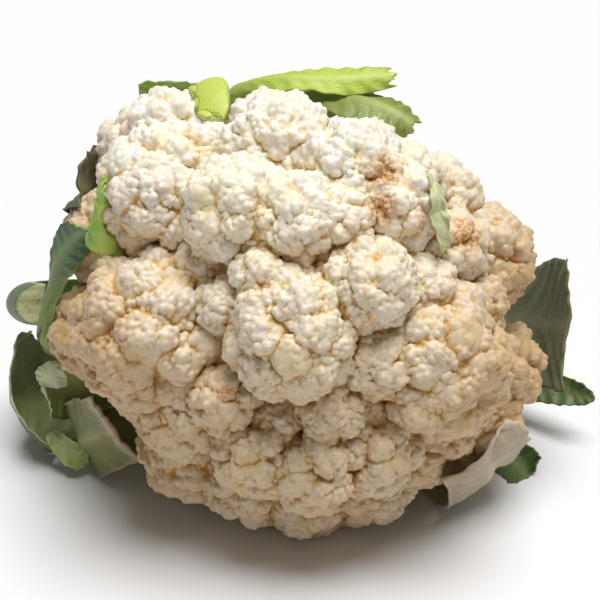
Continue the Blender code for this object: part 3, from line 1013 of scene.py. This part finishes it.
looks = {
    "long": {
        "petiole": (0.42, 0.44, 0.12), "inner": (0.05, 0.12, 0.035), "outer": (0.05, 0.13, 0.04),
        "rib": (0.22, 0.33, 0.12), "rim": (0.30, 0.42, 0.10), "bloom": (0.12, 0.20, 0.10), "dry": 0.15,
    },
    "back": {
        "petiole": (0.20, 0.22, 0.08), "inner": (0.19, 0.18, 0.11), "outer": (0.09, 0.10, 0.05),
        "rib": (0.22, 0.26, 0.12), "rim": (0.10, 0.09, 0.05), "bloom": (0.20, 0.19, 0.15), "dry": 0.3,
    },
    "stub": {
        "petiole": (0.06, 0.12, 0.02), "inner": (0.20, 0.28, 0.08), "outer": (0.03, 0.08, 0.01),
        "rib": (0.36, 0.42, 0.18), "rim": (0.44, 0.46, 0.25), "bloom": (0.06, 0.12, 0.03), "dry": 0.25,
    },
    "outer": {
        "petiole": (0.16, 0.22, 0.06), "inner": (0.36, 0.38, 0.17), "outer": (0.05, 0.09, 0.02),
        "rib": (0.40, 0.44, 0.22), "rim": (0.46, 0.50, 0.28), "bloom": (0.12, 0.15, 0.08), "dry": 0.25,
    },
    "curl": {
        "petiole": (0.20, 0.25, 0.08), "inner": (0.40, 0.46, 0.10), "outer": (0.34, 0.38, 0.18),
        "rib": (0.40, 0.44, 0.20), "rim": (0.52, 0.54, 0.36), "bloom": (0.34, 0.37, 0.24), "dry": 0.1,
    },
    "pale": {
        "petiole": (0.38, 0.42, 0.20), "inner": (0.42, 0.46, 0.24), "outer": (0.42, 0.46, 0.24),
        "rib": (0.50, 0.53, 0.34), "rim": (0.58, 0.60, 0.42), "bloom": (0.48, 0.50, 0.34), "dry": 0.1,
    },
    "low": {
        "petiole": (0.24, 0.27, 0.09), "inner": (0.18, 0.20, 0.04), "outer": (0.16, 0.18, 0.04),
        "rib": (0.34, 0.34, 0.14), "rim": (0.60, 0.48, 0.38), "bloom": (0.20, 0.22, 0.07), "dry": 0.5,
    },
    "sliver": {
        "petiole": (0.30, 0.38, 0.12), "inner": (0.30, 0.46, 0.07), "outer": (0.24, 0.38, 0.05),
        "rib": (0.34, 0.46, 0.14), "rim": (0.30, 0.40, 0.12), "bloom": (0.26, 0.36, 0.14), "dry": 0.1,
    },
    "tongue": {
        "petiole": (0.50, 0.62, 0.12), "inner": (0.72, 0.80, 0.12), "outer": (0.70, 0.78, 0.10),
        "rib": (0.60, 0.72, 0.20), "rim": (0.58, 0.64, 0.20), "bloom": (0.74, 0.82, 0.22), "dry": 0.05,
    },
    "bright": {
        "petiole": (0.34, 0.35, 0.15), "inner": (0.46, 0.62, 0.05), "outer": (0.44, 0.60, 0.05),
        "rib": (0.55, 0.70, 0.16), "rim": (0.44, 0.56, 0.14), "bloom": (0.52, 0.66, 0.10), "dry": 0.1,
    },
    "olive": {
        "petiole": (0.34, 0.40, 0.12), "inner": (0.20, 0.26, 0.03), "outer": (0.16, 0.22, 0.03),
        "rib": (0.44, 0.52, 0.16), "rim": (0.34, 0.40, 0.10), "bloom": (0.28, 0.34, 0.10), "dry": 0.2,
    },
    "broad": {
        "petiole": (0.26, 0.28, 0.16), "inner": (0.17, 0.20, 0.12), "outer": (0.12, 0.17, 0.06),
        "rib": (0.36, 0.37, 0.27), "rim": (0.14, 0.18, 0.06), "bloom": (0.24, 0.27, 0.19), "dry": 0.1,
    },
    "dark": {
        "petiole": (0.20, 0.24, 0.10), "inner": (0.06, 0.12, 0.02), "outer": (0.06, 0.10, 0.02),
        "rib": (0.16, 0.22, 0.08), "rim": (0.10, 0.14, 0.04), "bloom": (0.11, 0.16, 0.08), "dry": 0.2,
    },
    "veil": {
        "petiole": (0.50, 0.46, 0.28), "inner": (0.52, 0.44, 0.30), "outer": (0.46, 0.38, 0.25),
        "rib": (0.58, 0.50, 0.36), "rim": (0.70, 0.60, 0.48), "bloom": (0.50, 0.40, 0.32), "dry": 0.2,
    },
    "fold": {
        "petiole": (0.42, 0.56, 0.10), "inner": (0.18, 0.40, 0.03), "outer": (0.22, 0.46, 0.035),
        "rib": (0.50, 0.62, 0.12), "rim": (0.50, 0.62, 0.22), "bloom": (0.30, 0.50, 0.10), "dry": 0.1,
    },
    "shred": {
        "petiole": (0.50, 0.58, 0.20), "inner": (0.56, 0.62, 0.26), "outer": (0.46, 0.56, 0.16),
        "rib": (0.66, 0.66, 0.40), "rim": (0.70, 0.66, 0.46), "bloom": (0.66, 0.66, 0.44), "dry": 0.3,
    },
}


def leafMaterial(name, look):
    made, tree, shader = newMaterial(
        name,
        {"Subsurface Weight": 0.12, "Subsurface Radius": (0.6, 1.0, 0.2), "Subsurface Scale": 0.0012},
    )
    place = objectPlace(tree)
    mottle, grain = skinValues(tree, 70.0, 2200.0)
    outer = readAttribute(tree, "outer")
    share = readAttribute(tree, "share")
    blade = readAttribute(tree, "blade")
    face = mixColour(tree, stepMask(tree, outer, 0.4, 0.6), look["inner"], look["outer"])
    face = mixColour(tree, times(tree, stepMask(tree, mottle, 0.35, 0.7), 0.55), face, look["bloom"])
    spots = stepMask(tree, noiseValue(tree, place, 220.0, 4.0, 0.65), 0.52, 0.68)
    face = mixColour(tree, times(tree, spots, 0.45), face, (0.55, 0.6, 0.5), "MULTIPLY")
    net = addNode(tree, "TexVoronoi", {"Vector": place, "Scale": 330.0}, feature="DISTANCE_TO_EDGE")
    threads = times(tree, stepMask(tree, net.outputs["Distance"], 0.09, 0.02), 0.35)
    veins = maths(tree, "MAXIMUM", readAttribute(tree, "vein"), times(tree, threads, blade))
    face = mixColour(tree, times(tree, veins, 0.75), face, look["rib"])
    stalk = mixColour(tree, stepMask(tree, outer, 0.4, 0.6), look["petiole"], look["outer"])
    stalk = mixColour(tree, 0.6, stalk, look["petiole"])
    streak = addNode(tree, "CombineXYZ", {0: readAttribute(tree, "across"), 1: times(tree, share, 1.5)})
    fibres = noiseValue(tree, streak.outputs[0], 14.0, 3.0, 0.7)
    stalk = mixColour(tree, times(tree, stepMask(tree, fibres, 0.4, 0.7), 0.5), stalk, look["bloom"])
    base = mixColour(tree, blade, stalk, face)
    base = mixColour(tree, times(tree, readAttribute(tree, "ridge"), 0.85), base, look["rib"])
    # "outer" runs from 0 to 1 across the leaf's edge, so this is 1 in its middle.
    between = times(tree, outer, maths(tree, "SUBTRACT", 1.0, outer))
    between = maths(tree, "MULTIPLY", between, 8.0, clamp=True)
    # The rim colour is partly the edge's own paler or drier colour and partly a painted highlight along the
    # blade's edges.
    edge = maths(tree, "MAXIMUM", between, times(tree, readAttribute(tree, "rim"), 0.8))
    base = mixColour(tree, edge, base, look["rim"])
    pores = stepMask(tree, noiseValue(tree, place, 1100.0, 2.0, 0.6), 0.56, 0.66)
    base = mixColour(tree, times(tree, times(tree, pores, edge), 0.45), base, look["petiole"])
    old = maths(tree, "ADD", noiseValue(tree, place, 120.0, 5.0, 0.7), times(tree, share, 0.12))
    fresh = stepMask(tree, old, 0.74, 0.62)
    brown = times(tree, maths(tree, "SUBTRACT", 1.0, fresh), look["dry"])
    base = mixColour(tree, brown, base, (0.24, 0.15, 0.06))
    tree.links.new(maths(tree, "MULTIPLY_ADD", mottle, 0.25, 0.33), shader.inputs["Roughness"])
    lines = maths(tree, "SUBTRACT", fibres, threads)
    finishSurface(tree, shader, base, maths(tree, "ADD", times(tree, grain, 0.35), lines), 0.4, 0.0004)
    return made


def cylinderPoint(distance, bearing, height):
    angle = math.radians(bearing)
    return (distance * math.cos(angle), distance * math.sin(angle), height)


def curveThrough(values, share):
    # A smooth curve through evenly spaced values, read at each share of its length.
    values = np.asarray(values, float).reshape(len(values), -1)
    values = np.vstack((2 * values[0] - values[1], values, 2 * values[-1] - values[-2]))
    spans = len(values) - 3
    at = np.clip(share * spans, 0, spans - 1e-9)
    i = at.astype(int)
    t = (at - i)[..., None]
    a, b, c, d = values[i], values[i + 1], values[i + 2], values[i + 3]
    return 0.5 * (2 * b + (c - a) * t + (2 * a - 5 * b + 4 * c - d) * t**2 + (3 * b - a - 3 * c + d) * t**3)


def ragged(at, rates, rng):
    # An uneven line between 0 and 1.
    total = sum(np.sin(at * rate + rng.uniform(0, 6.28)) / k for k, rate in enumerate(rates, 1))
    return 0.5 + 0.5 * total / sum(1 / k for k in range(1, len(rates) + 1))


def bladeFree(spec, share):
    # 0 along the petiole and 1 where the blade has spread; a loose flap is blade from its start.
    if "whorl" not in spec:
        return np.ones_like(share)
    return np.clip((share - leafRules["bladeStart"]) / leafRules["bladeSpread"], 0, 1)


def leafForm(spec, rng):
    rows, columns = spec.get("rows", leafRules["rows"]), leafRules["columns"]
    rib = list(spec["rib"])
    if "whorl" in spec:
        distance, height = leafRules["whorls"][spec["whorl"]]
        rib.insert(0, (distance - leafRules["rooted"], spec["bearing"], height))
    rib = np.array([cylinderPoint(*place) for place in rib])
    even = np.linspace(-1, 1, columns)
    across = (0.65 * even + 0.35 * np.sin(even * math.pi / 2))[None, :]
    kind, depth = spec["end"]
    if kind == "round":
        short = depth * (1 - np.sqrt(np.maximum(0, 1 - across**2))) * 3
    else:
        short = depth * ragged(across, (5, 11, 23), rng)
    along = np.linspace(0, 1, rows)[:, None]
    share = along * (1 - short * along**3)
    line = curveThrough(rib, share)
    ahead = unit(curveThrough(rib, share + 0.01) - curveThrough(rib, share - 0.01))
    out = unit(line)
    out = unit(out - (out * ahead).sum(-1)[..., None] * ahead)
    side = np.cross(ahead, out)
    turn = spec.get("tilt", 0) + spec.get("turn", 0) * share ** spec.get("turnPower", 2)
    turn = np.radians(turn)[..., None]
    side, out = side * np.cos(turn) + out * np.sin(turn), out * np.cos(turn) - side * np.sin(turn)
    width = curveThrough(spec["halfWidths"], share)[..., 0]
    free = bladeFree(spec, share)
    bite = spec.get("ragged", 0) * free * np.where(
        across > 0, ragged(share, (19, 43, 90), rng), ragged(share, (23, 39, 77), rng)
    )
    reachOut = across * (1 - bite * across**2)
    phase = leafRules["waveRate"] * share + leafRules["waveOffset"] * np.sign(across)
    ripple = spec.get("wave", 0) * np.abs(across) ** 1.5 * np.sin(phase)
    frill = np.where(across > 0, ragged(share, (26, 41), rng), ragged(share, (29, 47), rng)) - 0.5
    ripple = free * (ripple + 2 * spec.get("ruffle", 0) * np.abs(across) ** 3 * frill)
    bend = ripple - spec.get("hug", 0) * width * across**2 * free
    places = line + side * (width * reachOut)[..., None] + out * bend[..., None]
    length = np.linalg.norm(np.diff(rib, axis=0), axis=1).sum()
    lane = (share * length - np.abs(across) * width * leafRules["veinSlant"]) / leafRules["veinSpacing"]
    lane = lane + 0.5 * (across > 0) + 0.18 * np.sin(share * 14 + across * 3)
    apart = np.abs(lane - np.round(lane)) * leafRules["veinSpacing"]
    bladed = free * (spec.get("blade", 0) > 0)
    vein = np.exp(-((apart / (0.55 + 0.5 * (1 - np.abs(across)))) ** 2)) * bladed * (1 - np.abs(across) ** 4)
    ridge = np.exp(-((across * width / (leafRules["ridgeWidth"] * (1.15 - 0.55 * share))) ** 2))
    values = {
        "share": share,
        "across": across + 0 * share,
        "blade": bladed,
        "vein": vein * (1 - ridge),
        "ridge": ridge * bladed,
        "rim": np.exp(-(((1 - np.abs(across)) * width / 0.5) ** 2)) * bladed,
    }
    if "dryRim" in spec:
        atEnd = np.exp(-(((1 - share / share.max(0)) * length / spec["dryRim"]) ** 2))
        values["rim"] = np.maximum(values["rim"], atEnd)
    puff = 0.9 * bladed * (np.sin(math.pi * lane) ** 2 - 0.5) * smoothStep(np.abs(across), 0.08, 0.4)
    return places, thicknessOf(spec, share, across, width, ridge), puff, values


def thicknessOf(spec, share, across, width, ridge):
    # Round along the petiole, a thin sheet with a ridge where the blade has spread.
    edge = leafRules["edgeThickness"]
    free = bladeFree(spec, share)
    ribThickness = np.interp(share, (0, 1), spec["thick"]) * (1 - spec.get("blade", 0) * free)
    roundPart = np.sqrt(1 - (across / leafRules["edgeRounding"]) ** 2)
    ridged = free * (spec.get("blade", 0) > 0)
    return np.maximum(edge + (ribThickness - edge) * (roundPart * (1 - ridged) + ridge * ridged), edge)


def solidReach(directions, extra):
    # Where the solid curd ends, with this much room round it and under its flat base.
    distance = reach(directions, curdBalls, extra)
    down = directions[:, 2] < -1e-6
    distance[down] = np.minimum(distance[down], (head["curdBottom"] - extra) / directions[down, 2])
    return distance


def clearOfCurd(places, clearance):
    # Moves what would be in the curd straight out of it.
    flat = places.reshape(-1, 3)
    length = np.linalg.norm(flat, axis=1)
    least = solidReach(flat / length[:, None], clearance)
    return (flat * np.maximum(1, least / length)[:, None]).reshape(places.shape)


def leafMesh(name, layers, values, cuts):
    # Two sheets of squares, joined round their edges, with the leaf's values kept on both.
    rows, columns = layers[0].shape[:2]
    bm = bmesh.new()
    stores = {key: bm.verts.layers.float.new(key) for key in (*values, "outer")}
    bmesh.ops.create_grid(bm, x_segments=columns - 1, y_segments=rows - 1, size=1)
    innerVerts = list(bm.verts)
    twin = bmesh.ops.duplicate(bm, geom=bm.verts[:] + bm.edges[:] + bm.faces[:])["vert_map"]
    for vertex in innerVerts:
        at = (round((vertex.co.y + 1) / 2 * (rows - 1)), round((vertex.co.x + 1) / 2 * (columns - 1)))
        other = twin[vertex]
        vertex.co = layers[0][at]
        other.co = layers[1][at]
        other[stores["outer"]] = 1
        for key, grid in values.items():
            vertex[stores[key]] = other[stores[key]] = grid[at]
    bmesh.ops.bridge_loops(bm, edges=[e for e in bm.edges if e.is_boundary])
    outer = stores["outer"]
    joins = [e for e in bm.edges if e.verts[0][outer] != e.verts[1][outer]]
    bmesh.ops.subdivide_edges(bm, edges=joins, cuts=cuts, use_grid_fill=True)
    bmesh.ops.recalc_face_normals(bm, faces=bm.faces[:])
    if bm.calc_volume(signed=True) < 0:
        bmesh.ops.reverse_faces(bm, faces=bm.faces[:])
    return meshFrom(bm, name)


def markCutEdges(mesh):
    # The end of a cut petiole meets its skin in a sharp edge.
    share, outer = (readValues(mesh.attributes[name].data, "value", 1)[:, 0] for name in ("share", "outer"))
    for edge in mesh.edges:
        a, b = edge.vertices
        if outer[a] == outer[b] and outer[a] in (0, 1):
            edge.use_edge_sharp = bool(min(share[a], share[b]) > share.max() - 0.02)


def makeLeaf(name, spec, material, rng, node):
    places, thickness, puff, values = leafForm(spec, rng)
    places = clearOfCurd(places, spec.get("clearance", leafRules["clearance"]))
    along, across = np.gradient(places, axis=(0, 1))
    normal = unit(np.cross(across, along))
    inner = places + normal * (puff - 0.12 * values["vein"])[..., None]
    swell = 0.45 * values["vein"] + (0.9 * values["rim"] if "dryRim" in spec else 0)
    outer = places + normal * (thickness + puff + swell)[..., None]
    layers = []
    for points, leastHeight in ((inner, leafRules["edgeThickness"]), (outer, 0.0)):
        row = toRow(points.reshape(-1, 3)).reshape(points.shape)
        row[..., 2] = np.maximum(row[..., 2], leastHeight * mm)
        layers.append(row)
    cut = spec["end"][0] == "cut"
    mesh = leafMesh(name, layers, values, 6 if cut else 1)
    addPiece(name, mesh, material, node, slot="leaf")
    if cut:
        markCutEdges(mesh)
    return countTriangles(mesh)


def makeLeaves():
    surfaces = {name: leafMaterial("leaf_" + name, look) for name, look in looks.items()}
    triangles = 0
    for index, (name, spec) in enumerate(leaves.items()):
        rng = np.random.default_rng(leafRules["seed"] + index)
        triangles += makeLeaf(name, spec, surfaces[spec["look"]], rng, spec.get("node", name))
    print("leaves:", len(leaves), "leaves,", triangles, "triangles")
    bases = []
    for spec in (leaf for leaf in leaves.values() if "whorl" in leaf):
        distance, height = leafRules["whorls"][spec["whorl"]]
        bases.append(cylinderPoint(distance, spec["bearing"], height))
    return bases


makeStem(makeLeaves())


# Floor, light and camera


def addStage():
    bm = bmesh.new()
    bmesh.ops.create_grid(bm, x_segments=1, y_segments=1, size=3.0)
    floor = addObject("floor", meshFrom(bm, "floor"))
    paint = newMaterial("floorPaint", {"Base Color": (0.80, 0.81, 0.84, 1), "Roughness": 0.9})[0]
    floor.data.materials.append(paint)


def addLight(name, kind, place, aim, **settings):
    light = addObject(name, bpy.data.lights.new(name, kind))
    for key, value in settings.items():
        setattr(light.data, key, value)
    light.location = place
    light.rotation_euler = (Vector(place) - Vector(aim)).to_track_quat("Z", "Y").to_euler()


def addLights():
    middle = (0, 0.03, 0.07)
    high = (0.12, 0.05, 1.07)
    soft = math.radians(40.0)
    addLight("keyLight", "SUN", high, middle, energy=3.5, angle=soft, color=(1.0, 0.99, 0.97))
    front = {"shape": "DISK", "size": 0.7, "energy": 0.25, "color": (0.97, 0.98, 1.0)}
    addLight("frontLight", "AREA", (0.25, -0.9, 0.45), middle, **front)
    world = bpy.data.worlds.new("studio")
    bpy.context.scene.world = world
    world.use_nodes = True
    background = world.node_tree.nodes["Background"]
    background.inputs["Color"].default_value = (1.0, 0.93, 0.83, 1)
    background.inputs["Strength"].default_value = 0.14


def addCamera():
    view = {"aim": (-0.003, 0.033, 0.0765), "elevation": math.radians(30.0), "distance": 0.53, "lens": 85.0}
    camera = addObject("camera", bpy.data.cameras.new("camera"))
    camera.data.lens = view["lens"]
    back = Vector((0, -math.cos(view["elevation"]), math.sin(view["elevation"])))
    camera.location = Vector(view["aim"]) + view["distance"] * back
    camera.rotation_euler = (-back).to_track_quat("-Z", "Y").to_euler()
    bpy.context.scene.camera = camera


addStage()
addLights()
addCamera()
bpy.context.scene.view_settings.view_transform = "Standard"
print("stage, lights and camera")
